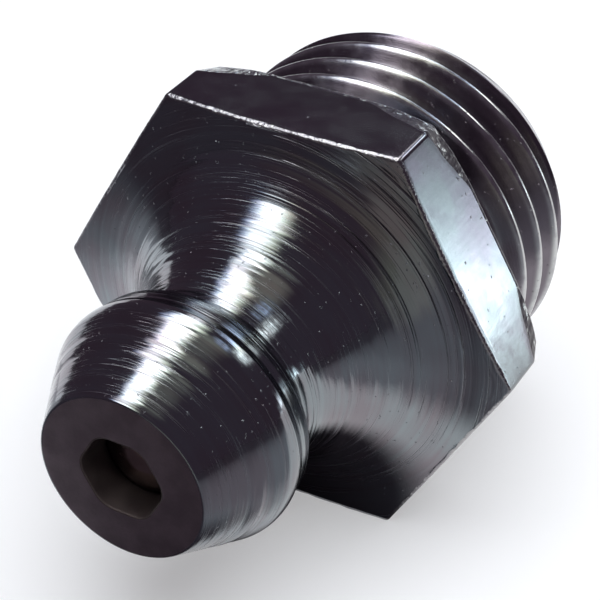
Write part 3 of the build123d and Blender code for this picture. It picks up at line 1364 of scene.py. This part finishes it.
# %% The colours of the cloth
band_blue = (0.5, 0.64, 1, 1)
band_cream = (0.92, 0.95, 0.74, 1)
spot_blue = (0.62, 0.76, 1, 1)
colour = blend_colours(tree, spread(tree, off, -0.12, -0.04), band_blue, (1, 1, 1, 1))
colour = blend_colours(tree, spread(tree, off, 0.02, 0.09), colour, band_cream)
colour = blend_colours(tree, spread(tree, blue_spots, 0.0, 0.08), colour, spot_blue)
put(tree, cloth.inputs["Color"], colour)
print(len(tree.nodes), "nodes on the overhead cloth")

# %% [markdown]
# ### Panels behind, and the light on the bench
#
# Three smaller panels stand behind the nipple. They draw the lines on the back of the head and light the
# right flat. Their cloth is cloudy and fades towards its edges, or they would be mirrored as rectangles. One
# more lamp lights only the bench, so that the bench can be set without touching the metal.

# %% Cloth that fades towards its edges


def fade_edges(lamp, softness):
    """Lets the cloth go dark towards its edges, over a share of its width, and makes it cloudy."""
    tree, cloth = lit_cloth(lamp)
    across, up, _ = split(tree, tree.nodes.new("ShaderNodeTexCoord").outputs["UV"])
    cloud = noise(tree, stretch(tree, object_place(tree), (45, 45, 45)), 1.0, 2.0)
    light = spread(tree, cloud, 0.4, 0.6, 0.15, 1.5)
    for share in (across, up):
        light = product(tree, light, spread(tree, share, 0.0, softness))
        light = product(tree, light, spread(tree, share, 1 - softness, 1.0, 1.0, 0.0))
    put(tree, cloth.inputs["Strength"], light)


# %% The four lamps
back_right = softbox(
    "back_right_panel", (0.077, 0.291, 0.109), (0.177, 0.085, 0.252), 0.09, 5.0, (0.96, 1.0, 0.97)
)
low = softbox("low_panel", (0.15, 0.26, -0.004), (0.26, 0.15, -0.004), 0.076, 6.2, (0.8, 0.96, 1.0))
softbox("bench_light", (0.1, -0.6, 0.9), (0.1, 0.6, 0.9), 1.2, 3.25, (0.96, 1.0, 1.04), seen_in="bench")
back_left = softbox("back_left_panel", (-0.04, 0.36, 0.1), (-0.08, 0.35, 0.2), 0.12, 7.0, (0.78, 0.9, 1.0))
fade_edges(back_right, 0.5)
fade_edges(low, 0.5)
fade_edges(back_left, 0.4)

# %% [markdown]
# ## The room
#
# Past the bench everything is white. Metal that mirrored a white room would look like chrome, so a tent of
# dim cloth stands round the bench, and only the metal sees it. The tent and the cards keep the white out of
# the plating, though the room and the bench do offer it to mirrors: without them the nipple would be pale.
# The tent's foot in front is lighter, which gives the outer part of the flare its greyish tone.

# %% The shape of the tent
tent_radius = 2.4
tent_mesh = bpy.data.meshes.new("tent")
cloth_shape = bmesh.new()
bmesh.ops.create_uvsphere(cloth_shape, u_segments=64, v_segments=32, radius=tent_radius)
cloth_shape.to_mesh(tent_mesh)
cloth_shape.free()
tent = bpy.data.objects.new("tent", tent_mesh)
bpy.context.scene.collection.objects.link(tent)
metal_only(tent)
print("the tent has", len(tent_mesh.polygons), "faces")

# %% The tent's dim cloth
dim = (0.088, 0.066, 0.09, 1)
foot_grey = (0.25, 0.24, 0.205, 1)
tent_finish, tree, shader = card_finish("dim_cloth")
direction = vector_sum(tree, "NORMALIZE", object_place(tree))
low_down = spread(tree, axis_share(tree, direction, (0, 0, 1)), 0.0, 0.24, 1.0, 0.0)
foot = product(tree, low_down, spread(tree, axis_share(tree, direction, front_bearing), *front_fade))
shader.inputs["Base Color"].default_value = (0, 0, 0, 1)
shader.inputs["Emission Strength"].default_value = 1.0
put(tree, shader.inputs["Emission Color"], blend_colours(tree, foot, dim, foot_grey))
tent_mesh.materials.append(tent_finish)
tent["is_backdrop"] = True
print(len(tree.nodes), "nodes in", tent_finish.name)

# %% The white behind it
world = bpy.data.worlds.new("room")
bpy.context.scene.world = world
world.use_nodes = True
tree = world.node_tree
looking, _ = looking_rays(tree)
backdrop = tree.nodes["Background"]
put(tree, backdrop.inputs["Color"], blend_colours(tree, looking, dim, (1, 1, 1, 1)))
backdrop.inputs["Strength"].default_value = 1.0
bpy.context.scene.view_settings.view_transform = "Standard"
print(len(tree.nodes), "nodes in", world.name)

# %% [markdown]
# ## The camera
#
# It stands less than five centimetres away, as for a close-up, a little to the right of the head and well
# above it, so that the face, three sides of the hexagon and the thread all show.

# %% Place the camera
azimuth = math.radians(29.4)
height = math.radians(35.2)
distance = 47.84
shift_right = -0.495
shift_up = -0.406
to_right = Vector((math.cos(azimuth), math.sin(azimuth), 0))
level_ahead = Vector((-math.sin(azimuth), math.cos(azimuth), 0))
ahead = level_ahead * math.cos(height) - Vector((0, 0, math.sin(height)))
upward = to_right.cross(ahead)
looked_at = Vector((0, -2.15, 0)) * MM
stand = looked_at - (shift_right * to_right + shift_up * upward + distance * ahead) * MM
camera_data = bpy.data.cameras.new("camera")
camera_data.sensor_width = 36
camera_data.lens = 114.06
camera_data.clip_start = 0.005
camera = bpy.data.objects.new("camera", camera_data)
turned_to = Matrix((to_right, upward, -ahead)).transposed()
camera.matrix_world = Matrix.Translation(stand) @ turned_to.to_4x4()
bpy.context.scene.collection.objects.link(camera)
bpy.context.scene.camera = camera
print("camera", round(1000 * (stand - looked_at).length, 1), "mm away")

# %% [markdown]
# ## Close
#
# The box round the dressed nipple is printed, in millimetres.

# %% Write the sizes and finish
bpy.context.view_layer.update()
low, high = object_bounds()
print("dressed", [round(1000 * side, 2) for side in high - low], "mm")
